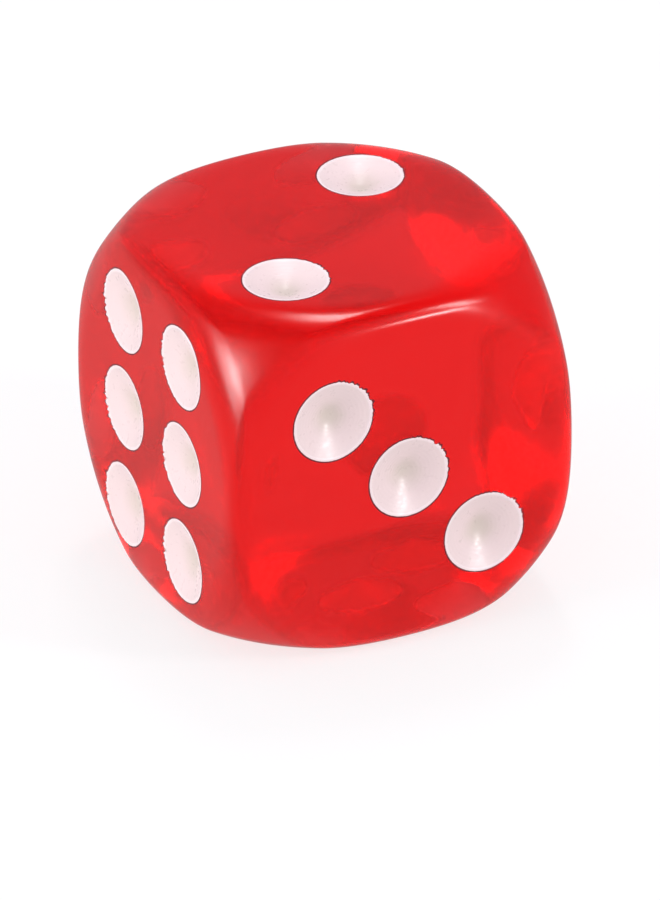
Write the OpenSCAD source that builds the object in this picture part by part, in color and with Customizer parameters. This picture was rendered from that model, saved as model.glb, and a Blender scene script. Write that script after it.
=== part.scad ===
// Clear acrylic game die with tumbled corners and 21 enamel-lined pips.
// Origin: middle of the cube. +Z: out of the two. -Y: out of the three. -X: out of the six.

/* [Body] */
// Distance between opposite faces
side = 16; // [13.5:0.5:25]
// Radius rolled along each edge between two faces
edge_r = 0.75; // [0.4:0.05:1.2]
// How far the sphere that trims the corners passes outside the middle of each rolled edge
corner_over = 0.3; // [0.1:0.05:1]

/* [Pips] */
// Diameter of a pip where it meets the face
pip_d = 3.78; // [3:0.03:4.5]
// Included angle of the spot drill that cuts the dimple
drill_angle = 130; // [110:2:150]
// Radius of the rounded tip of that drill
drill_tip_r = 0.6; // [0.2:0.05:0.9]
// Gap between the rims of the two columns of the six
six_column_gap = 1.74; // [0.5:0.01:2.2]
// How much further out than midway the end rows of the six stand
six_row_out = 0.05; // [0:0.01:0.15]
// How much nearer to the middle than midway the pips of the two stand, along each edge
two_in = 0.08; // [0:0.01:0.5]

/* [Enamel] */
// Width of the enamel's edge, seen as a ring in the face
enamel_rim = 0.14; // [0.08:0.01:0.3]
// How much flatter the enamel's cone is than the dimple's, on each side
enamel_flare = 3; // [2:0.5:5]
// How much larger the enamel's rounded middle is than the drill's tip
enamel_tip_more = 0.15; // [0.05:0.05:0.4]

/* [Hidden] */
$fn = 96;
// How far the cutting shapes reach past the surface they cut
reach = 1;
face_up = side / 2;
edge_core = face_up - edge_r;
edge_mid_r = edge_core * sqrt(2) + edge_r;
corner_r = edge_mid_r + corner_over;
// Radius at which the trimming sphere crosses the plane of a face
flat_r = sqrt(corner_r ^ 2 - face_up ^ 2);
pip_r = pip_d / 2;
// A pip's centre stands midway between the rim of a middle pip and the end of the flat,
// along a diagonal for the corner pips and along an edge for the end rows of the six
corner_out = (pip_r + flat_r) / 2 / sqrt(2);
six_row = (pip_r + edge_core) / 2 + six_row_out;
six_column = (pip_d + six_column_gap) / 2;
two_out = corner_out - two_in;

function centre_pip(face) = [[str("pip_", face, "_centre"), face, 0, 0]];

// Two pips on one diagonal of a face: rise is 1 from bottom left to top right, -1 from top left
function diagonal_pips(face, out, rise) = [
    for (s = [-1, 1])
        [str("pip_", face, s * rise > 0 ? "_top" : "_bottom", s > 0 ? "_right" : "_left"),
         face, s * out, s * rise * out]
];

function six_pips(face) = [
    for (row = [["bottom", -1], ["middle", 0], ["top", 1]])
        for (column = [["left", -1], ["right", 1]])
            [str("pip_", face, "_", row[0], "_", column[0]), face,
             column[1] * six_column, row[1] * six_row]
];

// Every pip: node name, face, and how far right and up from the middle of that face
PIPS = concat(
    centre_pip("one"),
    diagonal_pips("two", two_out, 1),
    centre_pip("three"),
    diagonal_pips("three", corner_out, -1),
    diagonal_pips("four", corner_out, 1),
    diagonal_pips("four", corner_out, -1),
    centre_pip("five"),
    diagonal_pips("five", corner_out, 1),
    diagonal_pips("five", corner_out, -1),
    six_pips("six")
);

// Turn of each face from the top face; opposite faces add up to seven
TURNS = [
    ["one", [90, 0, 90]],
    ["two", [0, 0, 0]],
    ["three", [90, 0, 0]],
    ["four", [90, 0, 180]],
    ["five", [180, 0, 0]],
    ["six", [90, 0, -90]]
];

function turn_of(face) = [for (turn = TURNS) if (turn[0] == face) turn[1]][0];

// Moves a shape drawn on the plane z = 0 to a pip's place on the die
module at_pip(pip) {
    rotate(turn_of(pip[1]))
        translate([pip[2], pip[3], face_up])
            children();
}

// Half section of a round-nosed cone that opens upwards and is rim_r wide at height 0
module cone_section(rim_r, half_angle, tip_r, top) {
    apex = -rim_r / tan(half_angle);
    tip_centre = apex + tip_r / sin(half_angle);
    touch_r = tip_r * cos(half_angle);
    touch_z = tip_centre - tip_r * sin(half_angle);
    polygon([
        [0, touch_z],
        [touch_r, touch_z],
        [rim_r + top * tan(half_angle), top],
        [0, top]
    ]);
    intersection() {
        translate([0, tip_centre])
            circle(r = tip_r);
        translate([0, tip_centre - tip_r - reach])
            square([tip_r, touch_z - tip_centre + tip_r + reach]);
    }
}

// The void that the drill leaves in a face
module dimple() {
    rotate_extrude()
        cone_section(pip_r, drill_angle / 2, drill_tip_r, reach);
}

// Rounded square prism along Z, longer than the die
module rolled_prism() {
    translate([0, 0, -side])
        linear_extrude(2 * side) {
            square([side, 2 * edge_core], center = true);
            square([2 * edge_core, side], center = true);
            for (x = [-1, 1])
                for (y = [-1, 1])
                    translate([x * edge_core, y * edge_core])
                        circle(r = edge_r);
        }
}

// The acrylic block before drilling
module blank() {
    intersection() {
        rolled_prism();
        rotate([90, 0, 0])
            rolled_prism();
        rotate([0, 90, 0])
            rolled_prism();
        sphere(r = corner_r);
    }
}

module die_body() {
    color("crimson", 0.6)
        difference() {
            blank();
            for (pip = PIPS)
                at_pip(pip)
                    dimple();
        }
}

// The enamel in one dimple: thin at its edge, thicker in the middle, level with the face
module enamel_lining() {
    rotate_extrude()
        difference() {
            cone_section(pip_r, drill_angle / 2, drill_tip_r, 0);
            cone_section(pip_r - enamel_rim, drill_angle / 2 + enamel_flare,
                         drill_tip_r + enamel_tip_more, reach);
        }
}

// The sphere that trims the body trims a lining whose rim reaches past the flat of its face
module pip_lining(pip) {
    color("seashell")
        intersection() {
            at_pip(pip)
                enamel_lining();
            sphere(r = corner_r);
        }
}

die_body();

for (pip = PIPS)
    pip_lining(pip);
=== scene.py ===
"""Ruby acrylic die with tumbled corners and enamel-lined pips, on a pale studio floor."""

import logging
import math
from dataclasses import dataclass, field
from enum import Enum
from typing import Any, ClassVar, Union

import bmesh
import bpy
import numpy as np
from mathutils import Matrix, Vector, noise


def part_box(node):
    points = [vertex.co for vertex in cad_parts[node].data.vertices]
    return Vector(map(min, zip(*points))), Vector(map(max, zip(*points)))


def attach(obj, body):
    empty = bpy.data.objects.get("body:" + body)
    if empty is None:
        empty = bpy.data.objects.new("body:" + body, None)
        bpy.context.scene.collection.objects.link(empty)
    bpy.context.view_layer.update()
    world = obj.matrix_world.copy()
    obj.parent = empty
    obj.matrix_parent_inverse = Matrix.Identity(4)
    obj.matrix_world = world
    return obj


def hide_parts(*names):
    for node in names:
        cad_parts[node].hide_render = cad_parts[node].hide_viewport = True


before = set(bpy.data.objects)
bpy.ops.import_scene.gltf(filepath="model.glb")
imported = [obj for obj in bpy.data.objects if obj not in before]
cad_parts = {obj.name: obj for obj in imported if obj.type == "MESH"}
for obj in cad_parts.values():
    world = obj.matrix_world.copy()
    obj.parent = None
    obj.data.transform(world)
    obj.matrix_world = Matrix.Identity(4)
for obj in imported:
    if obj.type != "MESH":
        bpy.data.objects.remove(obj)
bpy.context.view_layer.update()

LOG = logging.getLogger("die")
MM = 0.001
# An edge whose faces meet at more than this angle is left sharp
SHARP_ANGLE = math.radians(14.0)


# ---------------------------------------------------------------------------------------------
# Shader building
# ---------------------------------------------------------------------------------------------

Operand = Union["Socket", float]


class Socket:
    """An output socket whose arithmetic adds Math nodes to its tree."""

    def __init__(self, book: "NodeBook", link: bpy.types.NodeSocket) -> None:
        """Wrap one output socket of a node in the given book."""
        self.book = book
        self.link = link

    def _math(self, operation: str, first: Operand, second: Operand = 0.0) -> "Socket":
        """Add one Math node and return its value."""
        return self.book.add("ShaderNodeMath", {"operation": operation}, {0: first, 1: second})

    def __add__(self, other: Operand) -> "Socket":
        """Return self + other."""
        return self._math("ADD", self, other)

    __radd__ = __add__

    def __mul__(self, other: Operand) -> "Socket":
        """Return self * other."""
        return self._math("MULTIPLY", self, other)

    __rmul__ = __mul__

    def __sub__(self, other: Operand) -> "Socket":
        """Return self - other."""
        return self._math("SUBTRACT", self, other)

    def __rsub__(self, other: Operand) -> "Socket":
        """Return other - self."""
        return self._math("SUBTRACT", other, self)

    def least(self, other: Operand) -> "Socket":
        """Return the smaller of self and other."""
        return self._math("MINIMUM", self, other)


class NodeBook:
    """A node tree that is written by calls: one call adds one node."""

    def __init__(self, tree: bpy.types.NodeTree) -> None:
        """Empty the tree and start to write in it."""
        self.tree = tree
        tree.nodes.clear()

    def add(self, kind: str, settings: dict[str, Any], inputs: dict[Any, Any],
            output: Union[int, str] = 0) -> Socket:
        """Add a node, set it, feed it and return one of its outputs.

        Args:
            kind: Blender's type name of the node.
            settings: Values of the node's own properties, set before its sockets.
            inputs: Values or Sockets for its input sockets, by name or number.
            output: Name or number of the output to return.

        Returns:
            The chosen output, wrapped.
        """
        node = self.tree.nodes.new(kind)
        for name, value in settings.items():
            setattr(node, name, value)
        for key, value in inputs.items():
            if isinstance(value, Socket):
                self.tree.links.new(value.link, node.inputs[key])
            else:
                node.inputs[key].default_value = value
        return Socket(self, node.outputs[output]) if node.outputs else Socket(self, None)

    def blend(self, factor: Operand, first: Any, second: Any) -> Socket:
        """Return a colour that goes from first to second as factor goes from 0 to 1."""
        return self.add("ShaderNodeMix", {"data_type": "RGBA"}, {0: factor, 6: first, 7: second}, 2)

    def span(self, value: Socket, low: float, high: float, to_low: float, to_high: float) -> Socket:
        """Return value carried smoothly from the range low..high to to_low..to_high."""
        return self.add("ShaderNodeMapRange", {"interpolation_type": "SMOOTHSTEP"},
                        {0: value, 1: low, 2: high, 3: to_low, 4: to_high})

    def place(self) -> Socket:
        """Return the point on the piece, in the die's own frame."""
        return self.add("ShaderNodeTexCoord", {}, {}, "Object")

    def way(self) -> Socket:
        """Return the direction that a world is looked at in."""
        return self.add("ShaderNodeTexCoord", {}, {}, "Generated")

    def grain(self, where: Socket, scale: float, detail: float = 2.0) -> Socket:
        """Return a noise value around 0.5 with the given scale per metre."""
        return self.add("ShaderNodeTexNoise", {},
                        {"Vector": where, "Scale": scale, "Detail": detail}, "Fac")


# ---------------------------------------------------------------------------------------------
# Finishes
# ---------------------------------------------------------------------------------------------

@dataclass(frozen=True)
class RubyAcrylic:
    """Clear ruby acrylic: polished faces, corners left satin by tumbling."""

    ior: float = 1.49
    absorption: tuple[float, float, float] = (0.996, 0.03, 0.07)
    density: float = 330.0
    face_roughness: float = 0.14
    corner_roughness: float = 0.24
    worn_from: float = 1.32
    worn_fully: float = 1.40
    wear_grain: float = 1200.0

    def make(self, half: float) -> bpy.types.Material:
        """Build the material.

        Args:
            half: Half of the distance between opposite faces, in metres.

        Returns:
            The material.
        """
        material = bpy.data.materials.new("ruby_acrylic")
        material.use_nodes = True
        book = NodeBook(material.node_tree)
        where = book.place()
        roughness = self._roughness(book, where, half)
        surface = book.add("ShaderNodeBsdfPrincipled", {}, {
            "Base Color": (1.0, 1.0, 1.0, 1.0), "IOR": self.ior, "Transmission Weight": 1.0,
            "Roughness": roughness})
        inside = book.add("ShaderNodeVolumeAbsorption", {}, {
            "Color": (*self.absorption, 1.0), "Density": self.density})
        book.add("ShaderNodeOutputMaterial", {}, {"Surface": surface, "Volume": inside})
        return material

    def _roughness(self, book: NodeBook, where: Socket, half: float) -> Socket:
        """Return roughness that rises where the surface leaves the flats of the faces."""
        reach = book.add("ShaderNodeVectorMath", {"operation": "LENGTH"}, {0: where}, "Value")
        corner = book.span(reach, self.worn_from * half, self.worn_fully * half, 0.0, 1.0)
        uneven = book.span(book.grain(where, self.wear_grain), 0.3, 0.7, 0.94, 1.06)
        worn = uneven * self.corner_roughness
        return self.face_roughness + corner * (worn - self.face_roughness)


@dataclass(frozen=True)
class WhiteEnamel:
    """Semi-gloss white enamel: a painted highlight lightens the edge ring, the cone is greyer, the
    nose is darker with grime and painted shade, and a ring of painted shade darkens the outside.
    """

    wall: tuple[float, float, float] = (0.89, 0.71, 0.70)
    # Painted highlight: lighter colour of the flush edge ring
    edge: tuple[float, float, float] = (0.97, 0.79, 0.79)
    # Darker, yellower colour towards the nose: partly grime, partly painted shade in the recess; the
    # specks also use it, as dirt
    nose: tuple[float, float, float] = (0.70, 0.60, 0.52)
    back: tuple[float, float, float] = (0.96, 0.90, 0.88)
    # Painted shade: colour of the dark red outline ring at the enamel's outer edge
    rim_shade: tuple[float, float, float] = (0.17, 0.006, 0.014)
    roughness: float = 0.33
    edge_from: float = 0.915
    rim_shade_from: float = 0.970

    def make(self) -> bpy.types.Material:
        """Build the material.

        Returns:
            The material.
        """
        material = bpy.data.materials.new("white_enamel")
        material.use_nodes = True
        book = NodeBook(material.node_tree)
        where = book.place()
        out = book.add("ShaderNodeAttribute", {"attribute_name": Dimple.SHARE}, {}, "Fac")
        cloud = book.grain(where, 900.0, 3.0)
        # Partly grime, partly painted shade: darker towards the nose, the deepest part of the recess
        nose = book.span(out + 0.35 * (cloud - 0.5), 0.60, 0.0, 0.0, 0.8)
        tone = book.blend(nose, (*self.wall, 1.0), (*self.nose, 1.0))
        # Painted highlight: lighten the ring at the enamel's edge
        tone = book.blend(book.span(out, self.edge_from - 0.03, self.edge_from, 0.0, 1.0),
                          tone, (*self.edge, 1.0))
        specks = book.span(book.grain(where, 3000.0, 1.0), 0.74, 0.80, 0.0, 0.30)
        tone = book.blend(specks, tone, (*self.nose, 1.0))
        # Painted shade: a dark red outline ring outside the enamel's edge, with a ragged inner
        # boundary
        frayed = out + 0.02 * (book.grain(where, 8000.0) - 0.5)
        tone = book.blend(book.span(frayed, self.rim_shade_from - 0.006, self.rim_shade_from, 0.0, 1.0),
                          tone, (*self.rim_shade, 1.0))
        bonded = book.add("ShaderNodeAttribute", {"attribute_name": EnamelLining.BACK}, {}, "Fac")
        tone = book.blend(bonded, tone, (*self.back, 1.0))
        roughness = book.span(book.grain(where, 4000.0, 3.0), 0.3, 0.7, 0.8, 1.2) * self.roughness
        surface = book.add("ShaderNodeBsdfPrincipled", {}, {
            "Base Color": tone, "Roughness": roughness, "IOR": 1.5})
        book.add("ShaderNodeOutputMaterial", {}, {"Surface": surface})
        return material


# ---------------------------------------------------------------------------------------------
# Shape of the die
# ---------------------------------------------------------------------------------------------

def in_set_order(mesh: bmesh.types.BMesh) -> bmesh.types.BMesh:
    """Rebuild a mesh in an order that depends only on where its points are.

    Spinning and cutting can give the same shape in another order on each run, and merging
    close points depends on that order.

    Args:
        mesh: The mesh; it is freed.

    Returns:
        The same shape, in the same order on every run.
    """
    mesh.verts.index_update()
    places = [vertex.co.to_tuple() for vertex in mesh.verts]
    order = sorted(range(len(places)), key=places.__getitem__)
    rank = {old: new for new, old in enumerate(order)}
    rings = []
    for face in mesh.faces:
        ring = [rank[vertex.index] for vertex in face.verts]
        start = ring.index(min(ring))
        rings.append(ring[start:] + ring[:start])
    mesh.free()
    ordered = bmesh.new()
    points = [ordered.verts.new(places[old]) for old in order]
    for ring in sorted(rings):
        ordered.faces.new([points[index] for index in ring])
    return ordered


@dataclass(frozen=True)
class DieForm:
    """The outer form: a cube with rolled edges, trimmed by a sphere, its creases softened."""

    half: float
    edge_r: float
    corner_r: float
    softness: float

    def depth(self, points: np.ndarray) -> np.ndarray:
        """Return how far each point stands outside the form; it is negative inside.

        Args:
            points: Points in metres, one in each row.

        Returns:
            One value for each point, in metres.
        """
        beyond = np.abs(points) - (self.half - self.edge_r)
        cube = np.linalg.norm(np.maximum(beyond, 0.0), axis=-1) - self.edge_r
        cube += np.minimum(beyond.max(axis=-1), 0.0)
        ball = np.linalg.norm(points, axis=-1) - self.corner_r
        near = np.maximum(self.softness - np.abs(cube - ball), 0.0) / self.softness
        return np.maximum(cube, ball) + near * near * self.softness / 4.0

    def skin_along(self, starts: np.ndarray, ways: np.ndarray, span: float) -> np.ndarray:
        """Find where lines leave the form.

        Args:
            starts: A point inside the form for each line.
            ways: The unit direction of each line.
            span: Length of line to search.

        Returns:
            The point on the form's skin for each line.
        """
        low = np.zeros(len(starts))
        high = np.full(len(starts), span)
        halvings = 44
        for _ in range(halvings):
            middle = (low + high) / 2.0
            inside = self.depth(starts + ways * middle[:, None]) < 0.0
            low = np.where(inside, middle, low)
            high = np.where(inside, high, middle)
        return starts + ways * low[:, None]


class Facing(Enum):
    """A face of the die: its turn from the top face, and where and how much its rims are chipped."""

    ONE = ("one", (90.0, 0.0, 90.0), 40.0, 1.0)
    TWO = ("two", (0.0, 0.0, 0.0), 10.0, 0.7)
    THREE = ("three", (90.0, 0.0, 0.0), 40.0, 1.0)
    FOUR = ("four", (90.0, 0.0, 180.0), 60.0, 1.0)
    FIVE = ("five", (180.0, 0.0, 0.0), 120.0, 0.8)
    SIX = ("six", (90.0, 0.0, -90.0), 195.0, 1.7)

    def __init__(self, word: str, turn: tuple[float, float, float], ragged: float,
                 wear: float) -> None:
        """Keep the face's word, its turn in degrees, the middle of its chipped arc and its wear."""
        self.word = word
        self.turn = Matrix.Rotation(math.radians(turn[2]), 4, "Z") @ Matrix.Rotation(
            math.radians(turn[0]), 4, "X")
        self.ragged = math.radians(ragged)
        self.wear = wear

    @classmethod
    def of_node(cls, node: str) -> "Facing":
        """Return the face that a pip's node name starts with."""
        return next(face for face in cls if node.split("_")[1] == face.word)


@dataclass
class Dimple:
    """One drilled dimple: a round-nosed cone whose rim has small chips."""

    SHARE: ClassVar[str] = "share_of_rim"
    node: str
    face: Facing
    centre: Vector
    rim_r: float
    drill_angle: float = 130.0
    tip_r: float = 0.6 * MM
    steps: int = 336
    chip: float = 0.20 * MM
    chipped_arc: float = 0.75
    wobble: float = 0.008 * MM
    mark_depth: float = 0.0028 * MM
    seed: float = 0.0

    def to_place(self) -> Matrix:
        """Return the move from the drawing plane z = 0 to the dimple's place."""
        return Matrix.Translation(self.centre) @ self.face.turn

    def cone_points(self, rim_r: float, half_angle: float, tip_r: float, top: float,
                    marks: int = 0) -> list[tuple[float, float]]:
        """Return the half section of a round-nosed cone, from its nose up to height top.

        Args:
            rim_r: Radius at height 0.
            half_angle: Angle between the axis and the wall, in radians.
            tip_r: Radius of the rounded nose.
            top: Height at which the section ends.
            marks: Number of tool marks up the wall.

        Returns:
            (radius, height) pairs.
        """
        apex = -rim_r / math.tan(half_angle)
        tip_centre = apex + tip_r / math.sin(half_angle)
        turns = 4
        nose = []
        for step in range(turns + 1):
            angle = (math.pi / 2 - half_angle) * step / turns
            nose.append((tip_r * math.sin(angle), tip_centre - tip_r * math.cos(angle)))
        touch_r, touch_z = nose[-1]
        wall = []
        shares = [step / (4 * marks) for step in range(1, 4 * marks + 1)] or [0.5, 0.92, 1.0]
        for share in shares:
            ripple = self.mark_depth * math.sin(2 * math.pi * marks * share)
            wall.append((touch_r + (rim_r - touch_r) * share, touch_z * (1.0 - share) + ripple))
        wall.append((rim_r + top * math.tan(half_angle), top))
        return nose + wall

    def rim_shift(self, angle: float) -> float:
        """Return how far the rim stands out at an angle round the dimple."""
        coarse, fine = 11.0, 21.0
        round_path = Vector((math.cos(angle), math.sin(angle), self.seed))
        slow = noise.noise(round_path * 1.5) * self.wobble
        apart = math.atan2(math.sin(angle - self.face.ragged), math.cos(angle - self.face.ragged))
        strength = self.face.wear * math.exp(-(apart / self.chipped_arc) ** 2)
        teeth = noise.noise(round_path * coarse) + 0.6 * noise.noise(round_path * fine)
        return slow + strength * self.chip * teeth

    def chip_rim(self, mesh: bmesh.types.BMesh) -> None:
        """Push the rim of a turned mesh in and out, fading below the face."""
        fade = 0.12 * MM
        for vertex in mesh.verts:
            flat_r = math.hypot(vertex.co.x, vertex.co.y)
            share = min(max(1.0 - (self.rim_r - flat_r) / fade, 0.0), 1.0)
            if share > 0.0:
                angle = math.atan2(vertex.co.y, vertex.co.x)
                scale = 1.0 + share * self.rim_shift(angle) / flat_r
                vertex.co.x *= scale
                vertex.co.y *= scale

    def turn_section(self, points: list[tuple[float, float]]) -> bmesh.types.BMesh:
        """Spin a half section round the dimple's axis.

        Args:
            points: (radius, height) pairs from axis to axis.

        Returns:
            A closed mesh on the drawing plane.
        """
        mesh = bmesh.new()
        line = [mesh.verts.new((radius, 0.0, height)) for radius, height in points]
        edges = [mesh.edges.new(pair) for pair in zip(line, line[1:])]
        bmesh.ops.spin(mesh, geom=line + edges, axis=(0, 0, 1), cent=(0, 0, 0),
                       angle=2 * math.pi, steps=self.steps, use_merge=True)
        seam = 1e-7
        bmesh.ops.remove_doubles(mesh, verts=mesh.verts, dist=seam)
        mesh = in_set_order(mesh)
        share = mesh.verts.layers.float.new(self.SHARE)
        for vertex in mesh.verts:
            vertex[share] = math.hypot(vertex.co.x, vertex.co.y) / self.rim_r
        self.chip_rim(mesh)
        bmesh.ops.recalc_face_normals(mesh, faces=mesh.faces)
        return mesh

    def cutter(self) -> bmesh.types.BMesh:
        """Return the closed shape that the drill removes."""
        top = 0.3 * MM
        section = self.cone_points(self.rim_r, math.radians(self.drill_angle / 2), self.tip_r, top)
        mesh = self.turn_section(section + [(0.0, top)])
        mesh.transform(self.to_place())
        return mesh


# ---------------------------------------------------------------------------------------------
# Pieces
# ---------------------------------------------------------------------------------------------

def finish_piece(name: str, mesh: bmesh.types.BMesh, nodes: list[str],
                 material: bpy.types.Material) -> bpy.types.Object:
    """Turn a mesh into a finished piece that stands for CAD nodes.

    Args:
        name: Name of the piece.
        mesh: The geometry, in the die's frame; it is freed.
        nodes: CAD nodes that the piece stands for.
        material: The finish.

    Returns:
        The new object.
    """
    data = bpy.data.meshes.new(name)
    mesh.to_mesh(data)
    mesh.free()
    piece = bpy.data.objects.new(name, data)
    bpy.context.scene.collection.objects.link(piece)
    data.materials.append(material)
    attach(piece, "root")
    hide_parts(*nodes)
    LOG.info("%s: %d faces", name, len(data.polygons))
    return piece


@dataclass
class AcrylicBody:
    """The moulded, tumbled and drilled block."""

    form: DieForm
    dimples: list[Dimple]
    cuts: int = 71
    crowding: float = 0.7
    sliver: float = 0.002 * MM

    def build(self) -> bmesh.types.BMesh:
        """Return the drilled block as a mesh."""
        blank = self._blank()
        return self._drill(blank)

    def _blank(self) -> bmesh.types.BMesh:
        """Return the block before drilling: a divided cube pushed out to the form's skin."""
        mesh = bmesh.new()
        bmesh.ops.create_cube(mesh, size=2.0)
        bmesh.ops.subdivide_edges(mesh, edges=mesh.edges, cuts=self.cuts, use_grid_fill=True)
        grid = np.array([vertex.co for vertex in mesh.verts])
        grid = (1 - self.crowding) * grid + self.crowding * np.sin(grid * math.pi / 2)
        ways = grid / np.linalg.norm(grid, axis=1, keepdims=True)
        skin = self.form.skin_along(np.zeros_like(ways), ways, 2 * self.form.half)
        hair = 1e-8
        level = np.abs(np.abs(skin) - self.form.half) < hair
        skin = np.where(level, np.sign(skin) * self.form.half, skin)
        for vertex, point in zip(mesh.verts, skin):
            vertex.co = point
        bmesh.ops.recalc_face_normals(mesh, faces=mesh.faces)
        return mesh

    def _drill(self, blank: bmesh.types.BMesh) -> bmesh.types.BMesh:
        """Cut every dimple out of the block."""
        block = self._scratch("blank", blank)
        bits = bmesh.new()
        for dimple in self.dimples:
            bit = dimple.cutter()
            data = bpy.data.meshes.new("bit")
            bit.to_mesh(data)
            bit.free()
            bits.from_mesh(data)
            bpy.data.meshes.remove(data)
        drill = self._scratch("drill", bits)
        cut = block.modifiers.new("cut", "BOOLEAN")
        cut.operation = "DIFFERENCE"
        cut.solver = "EXACT"
        cut.object = drill
        graph = bpy.context.evaluated_depsgraph_get()
        drilled = bmesh.new()
        drilled.from_object(block, graph)
        for scratch in (block, drill):
            data = scratch.data
            bpy.data.objects.remove(scratch)
            bpy.data.meshes.remove(data)
        drilled = in_set_order(drilled)
        bmesh.ops.remove_doubles(drilled, verts=drilled.verts, dist=self.sliver)
        bmesh.ops.dissolve_degenerate(drilled, edges=drilled.edges, dist=self.sliver)
        bmesh.ops.triangulate(drilled, faces=drilled.faces)
        for face in drilled.faces:
            face.smooth = True
        for edge in drilled.edges:
            edge.smooth = edge.calc_face_angle(0.0) < SHARP_ANGLE
        return drilled

    @staticmethod
    def _scratch(name: str, mesh: bmesh.types.BMesh) -> bpy.types.Object:
        """Put a mesh in a short-lived object."""
        data = bpy.data.meshes.new(name)
        mesh.to_mesh(data)
        mesh.free()
        scratch = bpy.data.objects.new(name, data)
        bpy.context.scene.collection.objects.link(scratch)
        return scratch

    def dress(self, finish: RubyAcrylic) -> bpy.types.Object:
        """Build the body and give it its finish."""
        material = finish.make(self.form.half)
        return finish_piece("acrylic_body", self.build(), ["die_body"], material)


@dataclass
class EnamelLining:
    """The enamel in one dimple: thin at its edge, thicker in the middle, level with the face."""

    BACK: ClassVar[str] = "bonded_back"
    form: DieForm
    dimple: Dimple
    rim: float = 0.14 * MM
    flare: float = 3.0
    tip_more: float = 0.55 * MM
    bond: float = 0.004 * MM
    marks: int = 8
    edge_rings: tuple[float, ...] = (0.9995, 0.970, 0.95)

    def build(self) -> bmesh.types.BMesh:
        """Return the lining as a closed mesh in its place."""
        cut = self.dimple
        half_angle = math.radians(cut.drill_angle / 2)
        outer = cut.cone_points(cut.rim_r + self.bond, half_angle, cut.tip_r, 0.0)[:-1]
        outer = [(radius, height - self.bond) for radius, height in outer]
        inner = cut.cone_points(cut.rim_r - self.rim, half_angle + math.radians(self.flare),
                                cut.tip_r + self.tip_more, 0.0, self.marks)[:-1]
        edge = [(cut.rim_r * share, 0.0) for share in self.edge_rings]
        mesh = cut.turn_section(outer[:-1] + edge + inner[::-1])
        self._mark_back(mesh)
        mesh.transform(cut.to_place())
        self._sink(mesh)
        for face in mesh.faces:
            face.smooth = True
        for line in mesh.edges:
            line.smooth = line.calc_face_angle(0.0) < SHARP_ANGLE
        return mesh

    def _mark_back(self, mesh: bmesh.types.BMesh) -> None:
        """Mark the corners of the faces that are bonded to the block."""
        back = mesh.loops.layers.color.new(self.BACK)
        downward = -0.1
        for face in mesh.faces:
            shade = 1.0 if face.normal.z < downward else 0.0
            for loop in face.loops:
                loop[back] = (shade, shade, shade, 1.0)

    def _sink(self, mesh: bmesh.types.BMesh) -> None:
        """Lower what stands proud of the form's softened skin back to it."""
        normal = (self.dimple.face.turn @ Vector((0, 0, 1))).to_tuple()
        points = np.array([vertex.co for vertex in mesh.verts])
        proud = self.form.depth(points) > 0.0
        if not proud.any():
            return
        ways = np.tile(normal, (int(proud.sum()), 1))
        drop = 2.0 * MM
        points[proud] = self.form.skin_along(points[proud] - ways * drop, ways, drop)
        for vertex, point in zip(mesh.verts, points):
            vertex.co = point

    def dress(self, material: bpy.types.Material) -> bpy.types.Object:
        """Build the lining and give it its finish."""
        name = self.dimple.node.replace("pip_", "enamel_")
        return finish_piece(name, self.build(), [self.dimple.node], material)


# ---------------------------------------------------------------------------------------------
# Studio
# ---------------------------------------------------------------------------------------------

@dataclass
class StripLight:
    """A soft rectangular lamp that faces the die."""

    name: str
    azimuth: float
    elevation: float
    distance: float
    width: float
    height: float
    power: float
    mirrored: bool = True
    lights_matt: bool = True

    def hang(self) -> bpy.types.Object:
        """Create the lamp."""
        data = bpy.data.lights.new(self.name, "AREA")
        data.shape = "RECTANGLE"
        data.size = self.width
        data.size_y = self.height
        data.energy = self.power
        lamp = bpy.data.objects.new(self.name, data)
        bpy.context.scene.collection.objects.link(lamp)
        lamp.location = direction(self.azimuth, self.elevation) * self.distance
        lamp.rotation_euler = (-lamp.location).to_track_quat("-Z", "Y").to_euler()
        lamp.visible_camera = False
        lamp.visible_glossy = self.mirrored
        lamp.visible_diffuse = self.lights_matt
        return lamp


def direction(azimuth: float, elevation: float) -> Vector:
    """Return the unit vector towards an azimuth from -Y towards +X and an elevation, in degrees."""
    turn, lift = math.radians(azimuth), math.radians(elevation)
    return Vector((math.sin(turn) * math.cos(lift), -math.cos(turn) * math.cos(lift), math.sin(lift)))


@dataclass(frozen=True)
class Ray:
    """Which kind of ray is being traced, as 0 or 1."""

    lens: Socket
    passed: Socket
    gloss: Socket

    @classmethod
    def traced_in(cls, book: NodeBook) -> "Ray":
        """Read the kinds of ray in a tree."""
        passed = book.add("ShaderNodeLightPath", {}, {}, "Is Transmission Ray")
        glossy = book.add("ShaderNodeLightPath", {}, {}, "Is Glossy Ray")
        return cls(lens=book.add("ShaderNodeLightPath", {}, {}, "Is Camera Ray"),
                   passed=passed, gloss=glossy * (1.0 - passed))


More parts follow.
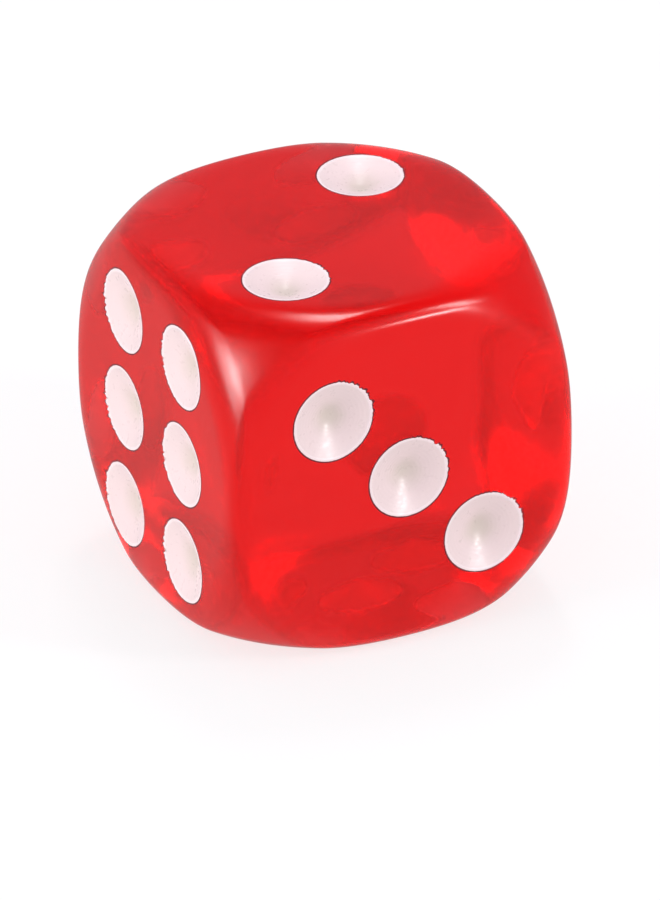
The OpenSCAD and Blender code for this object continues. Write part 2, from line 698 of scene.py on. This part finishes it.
@dataclass(frozen=True)
class Surround:
    """The surround above the floor: white to the lens, and a dim even room to everything else."""

    lens: float = 1.04
    through: float = 0.73
    gloss: float = 0.31
    gloss_overhead: float = 0.05
    gloss_right: float = 0.5
    light: float = 0.78
    tint: tuple[float, float, float] = (0.98, 0.98, 1.06)

    def make(self) -> bpy.types.World:
        """Build the surround.

        Returns:
            The world.
        """
        world = bpy.data.worlds.new("surround")
        world.use_nodes = True
        book = NodeBook(world.node_tree)
        ray = Ray.traced_in(book)
        matt = 1.0 - (ray.lens + ray.passed + ray.gloss).least(1.0)
        height = book.add("ShaderNodeSeparateXYZ", {}, {0: book.way()}, "Z")
        rightward = book.add("ShaderNodeSeparateXYZ", {}, {0: book.way()}, "X")
        gloss = (book.span(height, 0.48, 0.85, self.gloss, self.gloss_overhead)
                 * book.span(rightward, 0.45, 0.90, 1.0, self.gloss_right))
        strength = (ray.lens * self.lens + ray.passed * self.through + ray.gloss * gloss
                    + matt * self.light)
        sky = book.add("ShaderNodeBackground", {}, {"Color": (*self.tint, 1.0), "Strength": strength})
        book.add("ShaderNodeOutputWorld", {}, {"Surface": sky})
        return world


@dataclass(frozen=True)
class PalePaper:
    """The floor: white paper, brightened to the lens so that only a faint shadow is left."""

    white: float = 0.14
    glow: float = 0.70
    lens_white: float = 0.26
    lens_glow: float = 0.73
    gloss: float = 0.42

    def make(self) -> bpy.types.Material:
        """Build the material."""
        material = bpy.data.materials.new("pale_paper")
        material.use_nodes = True
        book = NodeBook(material.node_tree)
        ray = Ray.traced_in(book)
        direct = self._paper(book, self.lens_white, self.lens_glow)
        around = self._paper(book, self.white, self.glow)
        mirrored = self._paper(book, 0.0, self.gloss)
        unseen = book.add("ShaderNodeMixShader", {}, {0: ray.gloss, 1: around, 2: mirrored})
        surface = book.add("ShaderNodeMixShader", {}, {0: ray.lens, 1: unseen, 2: direct})
        book.add("ShaderNodeOutputMaterial", {}, {"Surface": surface})
        return material

    @staticmethod
    def _paper(book: NodeBook, white: float, glow: float) -> Socket:
        """Return matt white that also glows."""
        matt = book.add("ShaderNodeBsdfDiffuse", {}, {"Color": (white, white, white, 1.0)})
        light = book.add("ShaderNodeEmission", {}, {"Color": (1, 1, 1, 1), "Strength": glow})
        return book.add("ShaderNodeAddShader", {}, {0: matt, 1: light})


@dataclass
class Studio:
    """Pale floor, even surround, lamps and the camera."""

    floor_z: float
    floor_half: float = 0.5
    floor_gap: float = 0.05 * MM
    paper: PalePaper = PalePaper()
    surround: Surround = Surround()
    lamps: list[StripLight] = field(default_factory=lambda: [
        StripLight("left_strip", -77.0, 25.0, 0.30, 0.08, 0.10, 0.42, lights_matt=False),
        StripLight("left_fill", -90.0, 15.0, 0.30, 0.08, 0.12, 0.36, mirrored=False),
        StripLight("front_low", 29.0, 10.0, 0.32, 0.08, 0.05, 0.30, lights_matt=False),
        StripLight("front_strip", 42.0, 31.0, 0.32, 0.04, 0.12, 0.27),
        StripLight("back_strip", 150.0, 66.0, 0.32, 0.05, 0.08, 0.16),
    ])

    def lay_floor(self) -> None:
        """Make the floor and its finish."""
        mesh = bmesh.new()
        bmesh.ops.create_circle(mesh, cap_ends=True, segments=64, radius=self.floor_half)
        bmesh.ops.translate(mesh, verts=mesh.verts, vec=(0, 0, self.floor_z - self.floor_gap))
        data = bpy.data.meshes.new("floor")
        mesh.to_mesh(data)
        mesh.free()
        floor = bpy.data.objects.new("floor", data)
        bpy.context.scene.collection.objects.link(floor)
        data.materials.append(self.paper.make())

    def set_camera(self) -> None:
        """Make the camera: a long lens, a little above the die and to its left."""
        azimuth, elevation, roll = -26.03, 28.92, -0.356
        distance, right_shift, up_shift = 1.111, 0.238 * MM, -2.323 * MM
        data = bpy.data.cameras.new("camera")
        data.lens = 1058.0
        data.sensor_width = 36.0
        data.clip_end = 10.0
        camera = bpy.data.objects.new("camera", data)
        bpy.context.scene.collection.objects.link(camera)
        back = direction(azimuth, elevation)
        level = Vector((0, 0, 1)).cross(back).normalized()
        rise = back.cross(level)
        tilt = math.radians(roll)
        right = math.cos(tilt) * level + math.sin(tilt) * rise
        upward = -math.sin(tilt) * level + math.cos(tilt) * rise
        turn = Matrix((right, upward, back)).transposed().to_4x4()
        place = back * distance + right * right_shift + upward * up_shift
        camera.matrix_world = Matrix.Translation(place) @ turn
        bpy.context.scene.camera = camera

    def build(self) -> None:
        """Set up the whole studio."""
        self.lay_floor()
        bpy.context.scene.world = self.surround.make()
        for lamp in self.lamps:
            lamp.hang()
        self.set_camera()
        scene = bpy.context.scene
        scene.view_settings.view_transform = "Standard"
        scene.cycles.max_bounces = 48
        scene.cycles.transmission_bounces = 32
        scene.cycles.glossy_bounces = 40
        scene.cycles.use_denoising = True


# ---------------------------------------------------------------------------------------------
# Assembly
# ---------------------------------------------------------------------------------------------

def find_dimples() -> list[Dimple]:
    """Return every dimple, placed where the frame has its pip."""
    dimples = []
    for node in sorted(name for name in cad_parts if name.startswith("pip_")):
        low, high = (Vector(corner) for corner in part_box(node))
        face = Facing.of_node(node)
        outward = face.turn @ Vector((0, 0, 1))
        middle = (low + high) / 2
        sizes = high - low
        depth = abs(sizes.dot(outward))
        centre = middle + outward * depth / 2
        dimples.append(Dimple(node, face, centre, max(sizes) / 2, seed=7.0 * len(dimples)))
    return dimples


def main() -> None:
    """Build the die and its studio, and report each piece."""
    logging.basicConfig(level=logging.INFO, format="%(message)s")
    low, high = (Vector(corner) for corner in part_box("die_body"))
    half = (high.x - low.x) / 2
    form = DieForm(half=half, edge_r=0.75 * MM, corner_r=11.3 * MM, softness=0.92 * MM)
    dimples = find_dimples()
    AcrylicBody(form, dimples).dress(RubyAcrylic())
    enamel = WhiteEnamel().make()
    for dimple in dimples:
        EnamelLining(form, dimple).dress(enamel)
    Studio(floor_z=low.z).build()


if __name__ == "__main__":
    main()
